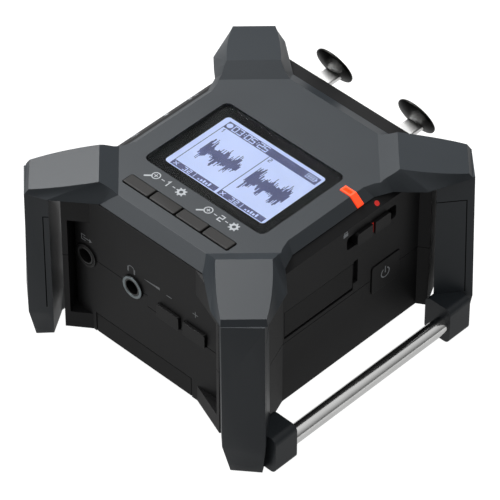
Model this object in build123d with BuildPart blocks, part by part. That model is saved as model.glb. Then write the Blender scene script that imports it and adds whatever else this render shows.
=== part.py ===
"""Portable two-channel field recorder with two locking microphone inputs.

Frame: millimetres, +Z up, +X to the right along the front face, +Y towards the
microphone inputs at the back. The origin is on the floor, under the middle of the
whole recorder; the four legs are centred a little in front of it, because the two
latch buttons stand out behind them.
"""
import os

from build123d import *

os.makedirs("parts", exist_ok=True)

# ---- driving dimensions ------------------------------------------------------
width = 75.4            # over the strap bar bosses
depth = 77.3            # over the four legs
height = 47.8           # floor to the crests at the four corners
leg_mid_y = -1.55       # middle of the legs; the latch buttons stand out 3.1 behind

plate_top = 45.7        # flat centre of the top cover
cover_under = 43.7      # underside of the cover plate, top of the housing
right_x = 26.6          # right face of the housing
left_x = -27.4          # left face of the housing
front_y = -31.25        # front face of the housing
back_y = 32.95          # back face of the housing, where the inputs sit
case_floor = 5.0        # underside of the lower case
side_seam = 22.0        # joint between the housings along the sides and back
front_seam = 26.3       # joint between the housings through the two front jacks
key_seam = 23.1         # the same joint where it steps down round the volume keys
seam_gap = 0.15         # shadow gap left open along that joint
wall = 1.8              # wall of both black housings
gap = 0.15              # clear space round a moulded cover or key
reach = 45.0            # longer than anything a cut has to pass through

window_size = (35.4, 25.7)
window_y = leg_mid_y - 1.45
key_pitch = 7.85
key_size = (7.55, 3.0)
key_y = leg_mid_y - 21.15
key_top = plate_top + 0.3
light_y = leg_mid_y + 8.4
light_width = 2.0

line_out_x = -19.8
phones_x = -5.6
jack_bore_r = 1.8
jack_ring_r = 2.9
volume_x = [5.3, 13.1]
volume_size = (6.6, 3.7)
volume_z = 24.8

slider_y = leg_mid_y + 10.0
slider_z = 37.8
power_y = leg_mid_y + 14.7
power_z = 21.8
power_size = (8.8, 7.7)
card_y = (leg_mid_y - 16.75, leg_mid_y + 4.5)
card_z = (23.2, 31.0)
card_pin = (25.75, 24.15)
side_key_y = [-9.5, 0.0, 8.6]
side_key_z = 38.0
usb_y = -10.0
remote_y = 6.0
port_z = 14.0

xlr_x = 12.25
xlr_z = 27.0
xlr_shell_r = 10.6
xlr_mouth_r = 9.6
xlr_insert_r = 7.8
xlr_mouth_depth = 11.2
xlr_front = back_y + 0.5
latch_z = 39.7          # middle of the flat arm that carries a latch button
latch_half = 2.1        # half width of that arm

bar_r = 2.0
bar_x = 35.2
bar_z = 4.9
bar_half = 28.5         # half length of a strap bar, its ends inside the legs
boss_face = 24.2        # where a bar comes out of its bosses, from the legs' middle

cell_r = 7.2
cell_length = 50.5
cell_front = -28.5
cell_x = [-10.15, 4.3]
cell_z = 14.05
door_x = (-17.6, 11.7)
door_back = 21.0
door_lip_top = 10.6
tripod_x = 18.9
tripod_thread_r = 3.175


def four_way(x, y):
    """The four mirror images of a point."""
    return [(x, y), (-x, y), (-x, -y), (x, -y)]


def save(builder, name):
    """Label one finished piece and write it under its own name."""
    builder.part.label = name
    export_step(builder.part, f"parts/{name}.step")


# ---- top cover: plate, four raised arms and four legs, one moulding -------------
# One quarter is drawn about the middle of the legs. On its diagonal, d runs outwards.
diagonal = Plane(origin=(0, 0, 0), x_dir=(1, 1, 0), z_dir=(1, -1, 0))
ramp_d = 27.8
crest_d = 31.9
arm_end_d = 46.9
leg_face_d = 48.7
arm_end_z = 45.0
leg_top_z = 42.4

plate_low = [(0, 0), (24.8, 0), (24.8, 12.5), (26.6, 16.6), (15.2, 29.6), (0, 29.6)]
plate_high = [(0, 0), (22.5, 0), (22.5, 11.5), (24.0, 16.0), (13.4, 26.3), (0, 26.3)]
arm_low = [(19.0, 8.5), (25.0, 13.0), (26.6, 16.6), (29.0, 18.7), (32.0, 21.6), (35.9, 31.4),
           (35.9, 32.3), (29.3, 38.5), (24.3, 36.5), (15.2, 29.6), (8.0, 24.0)]
arm_high = [(16.5, 9.0), (20.5, 13.6), (23.0, 16.5), (24.6, 18.2), (25.6, 19.5), (34.2, 31.2),
            (34.2, 31.9), (28.9, 37.4), (17.3, 27.85), (14.4, 24.9), (6.5, 22.0)]
leg_high = [(35.9, 32.3), (29.3, 38.5), (25.4, 35.2), (30.8, 25.8)]
leg_waist = [(36.6, 32.7), (29.6, depth / 2), (25.6, 35.0), (31.2, 25.8)]
leg_sole = [(35.3, 32.3), (29.9, 36.5), (27.2, 33.6), (31.6, 26.6)]
leg_waist_z = 9.0
sole_z = 0.6            # the rubber foot pads stand proud of the legs by this much
boss_x = (30.3, width / 2)
boss_top_z = 10.4
boss_length = 6.5
pad_spot = (31.0, 32.0)
pad_r = 1.6

with BuildPart() as corner:
    with BuildSketch(Plane.XY.offset(cover_under)):
        Polygon(*plate_low, align=None)
    with BuildSketch(Plane.XY.offset(plate_top)):
        Polygon(*plate_high, align=None)
    loft(ruled=True)
    with BuildSketch(Plane.XY.offset(cover_under)):
        Polygon(*arm_low, align=None)
    with BuildSketch(Plane.XY.offset(height + 0.1)):
        Polygon(*arm_high, align=None)
    loft(ruled=True)
    # the arm's top: ramp up to the crest, long fall outwards, rounded end
    with BuildSketch(diagonal):
        Polygon((-reach, plate_top), (ramp_d, plate_top), (crest_d, height),
                (arm_end_d, arm_end_z), (leg_face_d, leg_top_z), (2 * reach, leg_top_z),
                (2 * reach, 2 * reach), (-reach, 2 * reach), align=None)
    extrude(amount=reach, both=True, mode=Mode.SUBTRACT)
    # the leg: nearly straight down to its waist, then in towards the floor
    with BuildSketch(Plane.XY.offset(leg_waist_z)):
        Polygon(*leg_waist, align=None)
    with BuildSketch(Plane.XY.offset(cover_under)):
        Polygon(*leg_high, align=None)
    loft(ruled=True)
    with BuildSketch(Plane.XY.offset(sole_z)):
        Polygon(*leg_sole, align=None)
    with BuildSketch(Plane.XY.offset(leg_waist_z)):
        Polygon(*leg_waist, align=None)
    loft(ruled=True)
    # boss beside the leg that takes one end of a strap bar
    with BuildSketch(Plane.XZ.offset(-boss_face)):
        with Locations((sum(boss_x) / 2, (boss_top_z + sole_z) / 2)):
            RectangleRounded(boss_x[1] - boss_x[0], boss_top_z - sole_z, 1.6)
    extrude(amount=-boss_length)
    with BuildSketch(Plane.XZ.offset(-boss_face + 1)):
        with Locations((bar_x, bar_z)):
            Circle(bar_r + 0.02)
    extrude(amount=-(bar_half - boss_face + 1.2), mode=Mode.SUBTRACT)
    # seat of the foot pad
    with BuildSketch(Plane.XY.offset(sole_z)):
        with Locations(pad_spot):
            Circle(pad_r + 0.05)
    extrude(amount=0.5, mode=Mode.SUBTRACT)

with BuildPart() as top_cover:
    with Locations((0, leg_mid_y, 0)):
        add(corner.part)
    mirror(about=Plane.YZ)
    mirror(about=Plane.XZ.offset(-leg_mid_y))
    # seat of the display window, and the opening over the glass below it
    with BuildSketch(Plane.XY.offset(plate_top)):
        with Locations((0, window_y)):
            RectangleRounded(*window_size, 1.6)
    extrude(amount=-1.0, mode=Mode.SUBTRACT)
    with BuildSketch(Plane.XY.offset(plate_top)):
        with Locations((0, window_y)):
            RectangleRounded(window_size[0] - 3.0, window_size[1] - 3.0, 1.0)
    extrude(amount=-3.0, mode=Mode.SUBTRACT)
    # one slot for the row of four keys
    with BuildSketch(Plane.XY.offset(plate_top)):
        with Locations((0, key_y)):
            RectangleRounded(4 * key_pitch, key_size[1] + 2 * gap, 0.5)
    extrude(amount=-3.0, mode=Mode.SUBTRACT)
    # channel of the record light pipe over the right edge of the plate
    with BuildSketch(Plane.XZ.offset(-light_y + light_width / 2)):
        Polygon((19.4, 44.8), (22.2, 44.8), (24.2, 43.2), (26.0, 43.2), (26.0, 46.5),
                (19.4, 46.5), align=None)
    extrude(amount=-light_width, mode=Mode.SUBTRACT)
save(top_cover, "top_cover")

with BuildPart() as foot_pads:
    with BuildSketch(Plane.XY.offset(0)):
        with Locations((0, leg_mid_y)):
            with Locations(*four_way(*pad_spot)):
                Circle(pad_r)
    extrude(amount=sole_z + 0.45)
save(foot_pads, "foot_pads")

for side, bar_name in ((-1, "strap_bar_left"), (1, "strap_bar_right")):
    with BuildPart() as strap_bar:
        with BuildSketch(Plane.XZ.offset(-leg_mid_y)):
            with Locations((side * bar_x, bar_z)):
                Circle(bar_r)
        extrude(amount=bar_half, both=True)
        chamfer(strap_bar.edges().filter_by(GeomType.CIRCLE), 0.3)
    save(strap_bar, bar_name)

# ---- the two black housings, cut from one hollow body at their seam ----------------
post_spots = [(24.9, -27.2), (-24.9, -27.2), (21.0, 18.9), (-21.0, 18.9)]
post_r = 1.9
neck_front = leg_mid_y - 17.2
neck_back = leg_mid_y + 26.75
body_outline = [(13.3, front_y), (23.6, front_y - 3.7), (29.2, neck_front - 7.0),
                (right_x, neck_front), (right_x, neck_back - 1.55), (28.8, neck_back - 0.15),
                (24.6, back_y), (-24.6, back_y), (-28.8, neck_back - 0.15),
                (left_x, neck_back - 1.55), (left_x, neck_front), (-29.2, neck_front - 7.0),
                (-23.6, front_y - 3.7), (-18.5, front_y)]
cavity_outline = [(22.9, front_y + wall), (right_x - wall, front_y + wall + 3),
                  (right_x - wall, back_y - wall), (left_x + wall, back_y - wall),
                  (left_x + wall, front_y + wall + 3), (-22.9, front_y + wall)]
pocket = [(8.0, front_y), (8.0, front_y - 5), (21.5, front_y - 5), (22.5, front_y - 3.1),
          (25.4, front_y + 1.75), (24.2, front_y + 1.75), (23.2, front_y)]
pocket_z = (9.5, 36.5)
body_top = cover_under - 0.25
deck_under = 41.75
bevel_out = 1.8
bevel_down = 1.5
back_slope = 5.6
back_drop = 1.7
panel_half = 23.4
panel_z = (15.6, 38.3)

with BuildPart() as body:
    with BuildSketch(Plane.XY.offset(case_floor)):
        Polygon(*body_outline, align=None)
    extrude(amount=body_top - case_floor)
    with BuildSketch(Plane.XY.offset(case_floor + wall)):
        Polygon(*cavity_outline, align=None)
    extrude(amount=deck_under - case_floor - wall, mode=Mode.SUBTRACT)
    # dark pocket between the flat front face and the rib beside each front leg
    with BuildSketch(Plane.XY.offset(pocket_z[0])):
        Polygon(*pocket, align=None)
        Polygon(*[(-x, y) for x, y in pocket], align=None)
    extrude(amount=pocket_z[1] - pocket_z[0], mode=Mode.SUBTRACT)
    # the deck is open under the display and the keys
    with BuildSketch(Plane.XY.offset(body_top)):
        with Locations((0, -1.6)):
            Rectangle(44.0, 54.0)
    extrude(amount=-3.0, mode=Mode.SUBTRACT)
    # bevelled label strips along the sides
    for out, edge in ((1, right_x), (-1, left_x)):
        with BuildSketch(Plane.XZ.offset(reach)):
            Polygon((edge + 9 * out, body_top - bevel_down), (edge, body_top - bevel_down),
                    (edge - bevel_out * out, body_top), (edge - bevel_out * out, body_top + 1),
                    (edge + 9 * out, body_top + 1), align=None)
        extrude(amount=-2 * reach, mode=Mode.SUBTRACT)
    # sloped panel along the back
    with BuildSketch(Plane.YZ.offset(-reach)):
        Polygon((back_y - back_slope, body_top), (back_y, body_top - back_drop),
                (back_y + 5, body_top - back_drop), (back_y + 5, body_top + 1),
                (back_y - back_slope, body_top + 1), align=None)
    extrude(amount=2 * reach, mode=Mode.SUBTRACT)
    # posts for the four case screws, and the block round the tripod insert
    with BuildSketch(Plane.XY.offset(case_floor)):
        with Locations(*post_spots):
            Circle(post_r)
    extrude(amount=deck_under - case_floor + 0.1)
    with BuildSketch(Plane.XY.offset(case_floor)):
        with Locations((tripod_x, 0)):
            Circle(5.8)
    extrude(amount=7.5)
    # front: two jacks, two volume keys, lip and floor opening of the battery door
    with BuildSketch(Plane.XZ.offset(-front_y + 1)):
        with Locations((line_out_x, front_seam), (phones_x, front_seam)):
            Circle(jack_ring_r + 0.05)
        with Locations(*[(x, volume_z) for x in volume_x]):
            RectangleRounded(volume_size[0] + 2 * gap, volume_size[1] + 2 * gap, 0.6)
        with Locations((sum(door_x) / 2, case_floor + 2.3)):
            Rectangle(door_x[1] - door_x[0], 2 * (door_lip_top - case_floor - 2.3))
    extrude(amount=-wall - 1.5, mode=Mode.SUBTRACT)
    with BuildSketch(Plane.XY.offset(case_floor - 1)):
        with Locations((sum(door_x) / 2, (front_y + door_back) / 2)):
            Rectangle(door_x[1] - door_x[0], door_back - front_y)
    extrude(amount=wall + 1.2, mode=Mode.SUBTRACT)
    # right: slide switch, power key, card cover with its finger notch
    with BuildSketch(Plane.YZ.offset(right_x - wall - 1)):
        with Locations((slider_y, slider_z)):
            RectangleRounded(15.4, 3.6, 0.8)
        with Locations((power_y, power_z)):
            RectangleRounded(power_size[0] + 2 * gap, power_size[1] + 2 * gap, 0.8)
        with Locations((sum(card_y) / 2, sum(card_z) / 2)):
            Rectangle(card_y[1] - card_y[0], card_z[1] - card_z[0])
    extrude(amount=wall + 2, mode=Mode.SUBTRACT)
    with BuildSketch(Plane.YZ.offset(right_x - 1.0)):
        with Locations((card_y[1] + 0.7, 28.2)):
            Rectangle(1.4, 6.4)
    extrude(amount=2, mode=Mode.SUBTRACT)
    with BuildSketch(Plane.XZ.offset(-card_y[0] + 1.0)):
        with Locations(card_pin):
            Circle(0.42)
    extrude(amount=-(card_y[1] - card_y[0] + 2.0), mode=Mode.SUBTRACT)
    # left: three keys, data socket, covered remote socket
    with BuildSketch(Plane.YZ.offset(left_x - 1)):
        with Locations(*[(y, side_key_z) for y in side_key_y]):
            RectangleRounded(7.0 + 2 * gap, 4.0 + 2 * gap, 0.8)
        with Locations((usb_y, port_z)):
            RectangleRounded(9.2, 3.5, 1.7)
        with Locations((remote_y, port_z)):
            RectangleRounded(10.0 + 2 * gap, 5.0 + 2 * gap, 1.0)
    extrude(amount=wall + 2, mode=Mode.SUBTRACT)
    # back: opening of the input panel, two slots for the latch arms
    with BuildSketch(Plane.XZ.offset(-back_y - 1)):
        with Locations((0, sum(panel_z) / 2)):
            Rectangle(2 * panel_half, panel_z[1] - panel_z[0])
        with Locations((xlr_x, latch_z), (-xlr_x, latch_z)):
            Rectangle(2 * latch_half + 0.4, 1.4)
    extrude(amount=wall + 2, mode=Mode.SUBTRACT)
    # holes for the case screws and the tripod insert
    with Locations((0, 0, case_floor)):
        with Locations(*post_spots):
            Cylinder(1.55, 2.2, mode=Mode.SUBTRACT)
            Cylinder(0.85, 46.0, mode=Mode.SUBTRACT)
        with Locations((tripod_x, 0)):
            Cylinder(4.8, 13.0, mode=Mode.SUBTRACT)

with BuildPart() as below_seam:
    with BuildSketch(Plane.XY):
        Rectangle(2 * reach, 2 * reach)
    extrude(amount=side_seam)
    with BuildSketch(Plane.XY):
        with Locations((-1.3, front_y + 1.9)):
            Rectangle(reach, reach, align=(Align.MAX, Align.MAX))
    extrude(amount=front_seam)
    with BuildSketch(Plane.XY):
        with Locations((-1.3, front_y + 1.9)):
            Rectangle(reach, reach, align=(Align.MIN, Align.MAX))
    extrude(amount=key_seam)

with BuildPart() as upper_housing:
    add(body.part)
    add(below_seam.part.moved(Location((0, 0, seam_gap))), mode=Mode.SUBTRACT)
save(upper_housing, "upper_housing")

with BuildPart() as lower_case:
    add(body.part)
    add(below_seam.part, mode=Mode.INTERSECT)
save(lower_case, "lower_case")

with BuildPart() as case_screws:
    with BuildSketch(Plane.XY.offset(case_floor + 0.1)):
        with Locations(*post_spots):
            Circle(1.5)
    extrude(amount=0.95)
    with BuildSketch(Plane.XY.offset(case_floor + 1.0)):
        with Locations(*post_spots):
            Circle(0.83)
    extrude(amount=21.0)
    with BuildSketch(Plane.XY.offset(case_floor + 0.1)):
        with Locations(*post_spots):
            Rectangle(1.8, 0.4)
            Rectangle(0.4, 1.8)
    extrude(amount=0.5, mode=Mode.SUBTRACT)
save(case_screws, "case_screws")

with BuildPart() as tripod_insert:
    with BuildSketch(Plane.XY.offset(case_floor)):
        with Locations((tripod_x, 0)):
            Circle(4.78)
            Circle(tripod_thread_r, mode=Mode.SUBTRACT)
    extrude(amount=6.4)
save(tripod_insert, "tripod_insert")

# ---- display: window, lit glass below it, backlight under that ---------------------
with BuildPart() as display_window:
    with BuildSketch(Plane.XY.offset(plate_top - 0.95)):
        with Locations((0, window_y)):
            RectangleRounded(window_size[0] - 0.1, window_size[1] - 0.1, 1.55)
    extrude(amount=0.9)
save(display_window, "display_window")

with BuildPart() as display_glass:
    with BuildSketch(Plane.XY.offset(42.4)):
        with Locations((0, window_y)):
            Rectangle(37.0, 27.0)
    extrude(amount=1.2)
    with BuildSketch(Plane.XY.offset(43.5)):
        with Locations((0, window_y)):
            Rectangle(window_size[0] - 3.8, window_size[1] - 3.8)
    extrude(amount=1.2)
save(display_glass, "display_glass")

with BuildPart() as display_backlight:
    with BuildSketch(Plane.XY.offset(41.2)):
        with Locations((0, window_y)):
            Rectangle(37.0, 27.0)
    extrude(amount=1.2)
save(display_backlight, "display_backlight")

# ---- four keys along the front of the plate, on one rubber mat ----------------------
for number in range(4):
    key_x = (number - 1.5) * key_pitch
    with BuildPart() as key:
        with BuildSketch(Plane.XY.offset(43.5)):
            with Locations((key_x, key_y)):
                RectangleRounded(key_size[0], key_size[1], 0.45)
        extrude(amount=key_top - 43.5)
        fillet(key.edges().group_by(Axis.Z)[-1], 0.3)
        with BuildSketch(Plane.XY.offset(43.05)):
            with Locations((key_x, key_y)):
                Rectangle(key_size[0], key_size[1] + 1.6)
        extrude(amount=0.55)
    save(key, f"key_{number + 1}")

with BuildPart() as key_mat:
    with BuildSketch(Plane.XY.offset(41.75)):
        with Locations((0, key_y)):
            RectangleRounded(4 * key_pitch + 1, 5.0, 0.8)
    extrude(amount=0.45)
save(key_mat, "key_mat")

with BuildPart() as key_board:
    with BuildSketch(Plane.XY.offset(40.75)):
        with Locations((0, key_y)):
            Rectangle(4 * key_pitch + 4, 6.0)
    extrude(amount=1.0)
save(key_board, "key_board")

with BuildPart() as record_light:
    with BuildSketch(Plane.XZ.offset(-light_y + light_width / 2 - 0.1)):
        Polygon((19.5, 44.85), (22.3, 44.85), (23.95, 43.7), (24.75, 43.7), (24.75, 44.1),
                (22.6, 45.85), (19.5, 45.85), align=None)
    extrude(amount=-light_width + 0.2)
save(record_light, "record_light")

# ---- right side: slide switch, power key, hinged card cover --------------------------
with BuildPart() as hold_slider:
    with BuildSketch(Plane.YZ.offset(right_x - 2.0)):
        with Locations((slider_y, slider_z)):
            RectangleRounded(10.4, 3.3, 0.7)
    extrude(amount=2.8)
    with BuildSketch(Plane.YZ.offset(right_x - 2.9)):
        with Locations((slider_y, slider_z)):
            Rectangle(20.4, 5.0)
    extrude(amount=1.0)
    with BuildSketch(Plane.YZ.offset(right_x + 0.2)):
        with Locations((slider_y, slider_z)):
            Rectangle(0.8, 3.4)
    extrude(amount=1.0, mode=Mode.SUBTRACT)
save(hold_slider, "hold_slider")

with BuildPart() as power_button:
    with BuildSketch(Plane.YZ.offset(right_x - 2.0)):
        with Locations((power_y, power_z)):
            RectangleRounded(power_size[0], power_size[1], 0.7)
    extrude(amount=2.3)
    with BuildSketch(Plane.YZ.offset(right_x - 2.9)):
        with Locations((power_y, power_z)):
            Rectangle(power_size[0] + 1.8, power_size[1] + 1.8)
    extrude(amount=1.0)
save(power_button, "power_button")

with BuildPart() as card_cover:
    with BuildSketch(Plane.XZ.offset(-card_y[0] - gap)):
        with Locations(card_pin):
            Circle(0.8)
        with Locations((card_pin[0], (card_pin[1] + card_z[1] - gap) / 2)):
            Rectangle(1.6, card_z[1] - gap - card_pin[1])
    extrude(amount=-(card_y[1] - card_y[0] - 2 * gap))
    with BuildSketch(Plane.XZ.offset(-card_y[0] + 0.8)):
        with Locations(card_pin):
            Circle(0.4)
    extrude(amount=-(card_y[1] - card_y[0] + 1.6))
save(card_cover, "card_cover")

with BuildPart() as card_socket:
    with BuildSketch(Plane.XY.offset(22.85)):
        with Locations((15.5, sum(card_y) / 2)):
            Rectangle(16.0, 14.5)
    extrude(amount=5.2)
    with BuildSketch(Plane.YZ.offset(9.0)):
        with Locations((sum(card_y) / 2, 26.6)):
            Rectangle(11.3, 1.1)
    extrude(amount=20.0, mode=Mode.SUBTRACT)
save(card_socket, "card_socket")

# ---- left side: three keys, data socket, remote socket behind a plug-in cover ----------
for side_y, side_name in zip(side_key_y, ("menu_button", "stop_button", "play_button")):
    with BuildPart() as side_key:
        with BuildSketch(Plane.YZ.offset(left_x - 0.9)):
            with Locations((side_y, side_key_z)):
                RectangleRounded(7.0, 4.0, 0.7)
        extrude(amount=2.8)
        with BuildSketch(Plane.YZ.offset(left_x + 1.9)):
            with Locations((side_y, side_key_z)):
                Rectangle(8.1, 5.4)
        extrude(amount=0.8)
    save(side_key, side_name)

with BuildPart() as side_switches:
    with BuildSketch(Plane.YZ.offset(left_x + 3.3)):
        with Locations(*[(y, side_key_z) for y in side_key_y]):
            Rectangle(3.0, 2.6)
    extrude(amount=1.0)
    with BuildSketch(Plane.YZ.offset(left_x + 4.3)):
        with Locations((sum(side_key_y) / 3, side_key_z - 0.6)):
            Rectangle(27.0, 5.6)
    extrude(amount=1.0)
save(side_switches, "side_switches")

with BuildPart() as data_socket:
    with BuildSketch(Plane.YZ.offset(left_x + 0.1)):
        with Locations((usb_y, port_z)):
            RectangleRounded(8.94, 3.2, 1.55)
            RectangleRounded(8.3, 2.56, 1.25, mode=Mode.SUBTRACT)
    extrude(amount=7.4)
    with BuildSketch(Plane.YZ.offset(left_x + 0.9)):
        with Locations((usb_y, port_z)):
            Rectangle(6.7, 0.7)
    extrude(amount=6.4)
    with BuildSketch(Plane.YZ.offset(left_x + 6.5)):
        with Locations((usb_y, port_z)):
            RectangleRounded(8.94, 3.2, 1.55)
    extrude(amount=1.6)
save(data_socket, "data_socket")

with BuildPart() as remote_socket:
    with BuildSketch(Plane.YZ.offset(left_x + 2.4)):
        with Locations((remote_y, port_z)):
            Rectangle(9.0, 4.4)
    extrude(amount=5.7)
    with BuildSketch(Plane.YZ.offset(left_x + 2.0)):
        with Locations((remote_y, port_z)):
            Rectangle(7.4, 2.8)
    extrude(amount=4.0, mode=Mode.SUBTRACT)
save(remote_socket, "remote_socket")

with BuildPart() as remote_cover:
    with BuildSketch(Plane.YZ.offset(left_x + 0.1)):
        with Locations((remote_y, port_z)):
            RectangleRounded(10.0, 5.0, 0.9)
    extrude(amount=1.8)
    with BuildSketch(Plane.YZ.offset(left_x + 1.8)):
        with Locations((remote_y, port_z)):
            Rectangle(7.2, 2.6)
    extrude(amount=3.2)
save(remote_cover, "remote_cover")

with BuildPart() as port_board:
    with BuildSketch(Plane.YZ.offset(left_x + 8.2)):
        with Locations((-2.0, 14.0)):
            Rectangle(28.0, 13.0)
    extrude(amount=1.2)
save(port_board, "port_board")

# ---- front: two 3.5 mm jacks and two volume keys -----------------------------------------
for jack_x, jack_name in ((line_out_x, "line_out_jack"), (phones_x, "phones_jack")):
    with BuildPart() as jack:
        with BuildSketch(Plane.XZ.offset(-front_y - wall - 0.1)):
            with Locations((jack_x, front_seam)):
                Rectangle(6.0, 6.0)
        extrude(amount=-12.0)
        with BuildSketch(Plane.XZ.offset(-front_y + 0.45)):
            with Locations((jack_x, front_seam)):
                Circle(jack_ring_r)
        extrude(amount=-3.0)
        with BuildSketch(Plane.XZ.offset(-front_y + 1)):
            with Locations((jack_x, front_seam)):
                Circle(jack_bore_r)
        extrude(amount=-13.0, mode=Mode.SUBTRACT)
    save(jack, jack_name)

for key_x, volume_name in zip(volume_x, ("volume_down_button", "volume_up_button")):
    with BuildPart() as volume_key:
        with BuildSketch(Plane.XZ.offset(-front_y + 0.7)):
            with Locations((key_x, volume_z)):
                RectangleRounded(*volume_size, 0.5)
        extrude(amount=-2.7)
        with BuildSketch(Plane.XZ.offset(-front_y - 1.95)):
            with Locations((key_x, volume_z)):
                Rectangle(7.4, 5.2)
        extrude(amount=-0.7)
    save(volume_key, volume_name)

# ---- back: input panel, two microphone inputs with their latches --------------------------
with BuildPart() as input_panel:
    with BuildSketch(Plane.XZ.offset(-back_y - 0.15)):
        with Locations((0, sum(panel_z) / 2)):
            Rectangle(2 * panel_half - 2 * gap, panel_z[1] - panel_z[0] - 2 * gap)
    extrude(amount=1.9)
    with BuildSketch(Plane.XZ.offset(-back_y + wall + 0.05)):
        with Locations((0, sum(panel_z) / 2)):
            Rectangle(2 * panel_half + 1.2, panel_z[1] - panel_z[0] + 1.2)
    extrude(amount=0.9)
    with BuildSketch(Plane.XZ.offset(-back_y - 1)):
        with Locations((xlr_x, xlr_z), (-xlr_x, xlr_z)):
            Circle(xlr_shell_r + 0.05)
    extrude(amount=5.0, mode=Mode.SUBTRACT)
save(input_panel, "input_panel")

mouth_floor = xlr_front - xlr_mouth_depth + 0.8
shell_back = mouth_floor - 0.8
pin_spots = [(-3.6, 3.0), (3.6, 3.0), (0, -4.6)]
tooth_y = mouth_floor + 2.4
disc_r = 5.1
disc_tilt = 20.0
disc_y = 37.99
disc_z = 41.8

for side, side_name in ((-1, "left"), (1, "right")):
    with BuildPart() as xlr_shell:
        with BuildSketch(Plane.XZ.offset(-shell_back)):
            with Locations((side * xlr_x, xlr_z)):
                Circle(xlr_shell_r)
        extrude(amount=-(xlr_front - shell_back))
        with BuildSketch(Plane.XZ.offset(-mouth_floor)):
            with Locations((side * xlr_x, xlr_z)):
                Circle(xlr_mouth_r)
        extrude(amount=-12.0, mode=Mode.SUBTRACT)
        with BuildSketch(Plane.XZ.offset(-shell_back + 1)):
            with Locations((side * xlr_x, xlr_z)):
                Circle(6.02)
        extrude(amount=-3.0, mode=Mode.SUBTRACT)
        with BuildSketch(Plane.XY.offset(xlr_z + xlr_mouth_r - 1.5)):
            with Locations((side * xlr_x, tooth_y)):
                Rectangle(2.8, 2.2)
        extrude(amount=3.0, mode=Mode.SUBTRACT)
    save(xlr_shell, f"xlr_shell_{side_name}")

    with BuildPart() as xlr_insert:
        with BuildSketch(Plane.XZ.offset(-mouth_floor - 0.02)):
            with Locations((side * xlr_x, xlr_z)):
                Circle(xlr_insert_r)
        extrude(amount=-8.6)
        with BuildSketch(Plane.XZ.offset(-shell_back)):
            with Locations((side * xlr_x, xlr_z)):
                Circle(6.0)
        extrude(amount=-2.0)
        with BuildSketch(Plane.XZ.offset(-shell_back + 1)):
            with Locations(*[(side * xlr_x + x, xlr_z + z) for x, z in pin_spots]):
                Circle(1.35)
        extrude(amount=-13.0, mode=Mode.SUBTRACT)
    save(xlr_insert, f"xlr_insert_{side_name}")

    with BuildPart() as xlr_contacts:
        with BuildSketch(Plane.XZ.offset(-shell_back - 0.2)):
            with Locations(*[(side * xlr_x + x, xlr_z + z) for x, z in pin_spots]):
                Circle(1.34)
                Circle(1.0, mode=Mode.SUBTRACT)
        extrude(amount=-9.0)
        with BuildSketch(Plane.XZ.offset(-shell_back + 0.5)):
            with Locations(*[(side * xlr_x + x, xlr_z + z) for x, z in pin_spots]):
                Circle(1.34)
        extrude(amount=-1.5)
    save(xlr_contacts, f"xlr_contacts_{side_name}")

    # dished thumb disc leaning back over its arm, round side towards the recorder
    tilt = Vector(0, 1, 0).rotate(Axis.X, disc_tilt)
    disc_centre = (side * xlr_x, disc_y, disc_z)
    disc_half = Plane(origin=disc_centre, x_dir=(1, 0, 0), z_dir=Vector(1, 0, 0).cross(tilt))
    with BuildPart() as latch_button:
        with BuildSketch(disc_half):
            Polygon((0, -0.95), (1.7, -0.85), (3.4, -0.55), (disc_r, -0.05), (disc_r, 0.5),
                    (3.4, 0.14), (1.7, -0.08), (0, -0.15), align=None)
        revolve(axis=Axis(disc_centre, tuple(tilt)))
        # flat arm through the back wall, forked round the hook, a ramp on each prong
        with BuildSketch(Plane.XY.offset(latch_z - 0.6)):
            with Locations((side * xlr_x, (tooth_y - 0.6 + disc_y + 0.4) / 2)):
                Rectangle(2 * latch_half, disc_y + 0.4 - tooth_y + 0.6)
        extrude(amount=1.2)
        with BuildSketch(Plane.YZ.offset(side * xlr_x - latch_half - 1)):
            Polygon((tooth_y - 2, latch_z - 0.5), (tooth_y - 0.65, latch_z - 0.5),
                    (tooth_y + 1.55, latch_z + 0.6), (tooth_y + 1.55, latch_z + 1),
                    (tooth_y - 2, latch_z + 1), align=None)
        extrude(amount=2 * latch_half + 2, mode=Mode.SUBTRACT)
        with BuildSketch(Plane.XY.offset(latch_z - 1)):
            with Locations((side * xlr_x, tooth_y)):
                Rectangle(2.8, 5.2)
        extrude(amount=2.0, mode=Mode.SUBTRACT)
    save(latch_button, f"latch_button_{side_name}")

    with BuildPart() as latch_hook:
        with BuildSketch(Plane.XY.offset(xlr_z + 8.9)):
            with Locations((side * xlr_x, tooth_y)):
                Rectangle(2.4, 1.6)
        extrude(amount=4.55)
        with BuildSketch(Plane.YZ.offset(side * xlr_x - 2.05)):
            with Locations((tooth_y, latch_z + 0.32)):
                Circle(0.4)
        extrude(amount=4.1)
    save(latch_hook, f"latch_hook_{side_name}")

# ---- inside: cells and their contacts, circuit boards, battery door ------------------------
for number, cell_middle in enumerate(cell_x):
    nub_first = number == 1
    with BuildPart() as cell:
        with BuildSketch(Plane.XZ.offset(-cell_front - (1.0 if nub_first else 0.0))):
            with Locations((cell_middle, cell_z)):
                Circle(cell_r)
        extrude(amount=-(cell_length - 1.0))
        fillet(cell.edges().filter_by(GeomType.CIRCLE), 0.4)
        with BuildSketch(Plane.XZ.offset(-cell_front)):
            with Locations((cell_middle, cell_z)):
                Circle(2.75)
        extrude(amount=-cell_length)
    save(cell, f"battery_{number + 1}")

with BuildPart() as battery_contacts:
    for contact_y in (cell_front - 0.75, cell_front + cell_length + 0.1):
        with BuildSketch(Plane.XZ.offset(-contact_y)):
            with Locations(*[(x, cell_z - 1.7) for x in cell_x]):
                Rectangle(11.0, 7.0)
        extrude(amount=-0.6)
save(battery_contacts, "battery_contacts")

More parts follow.
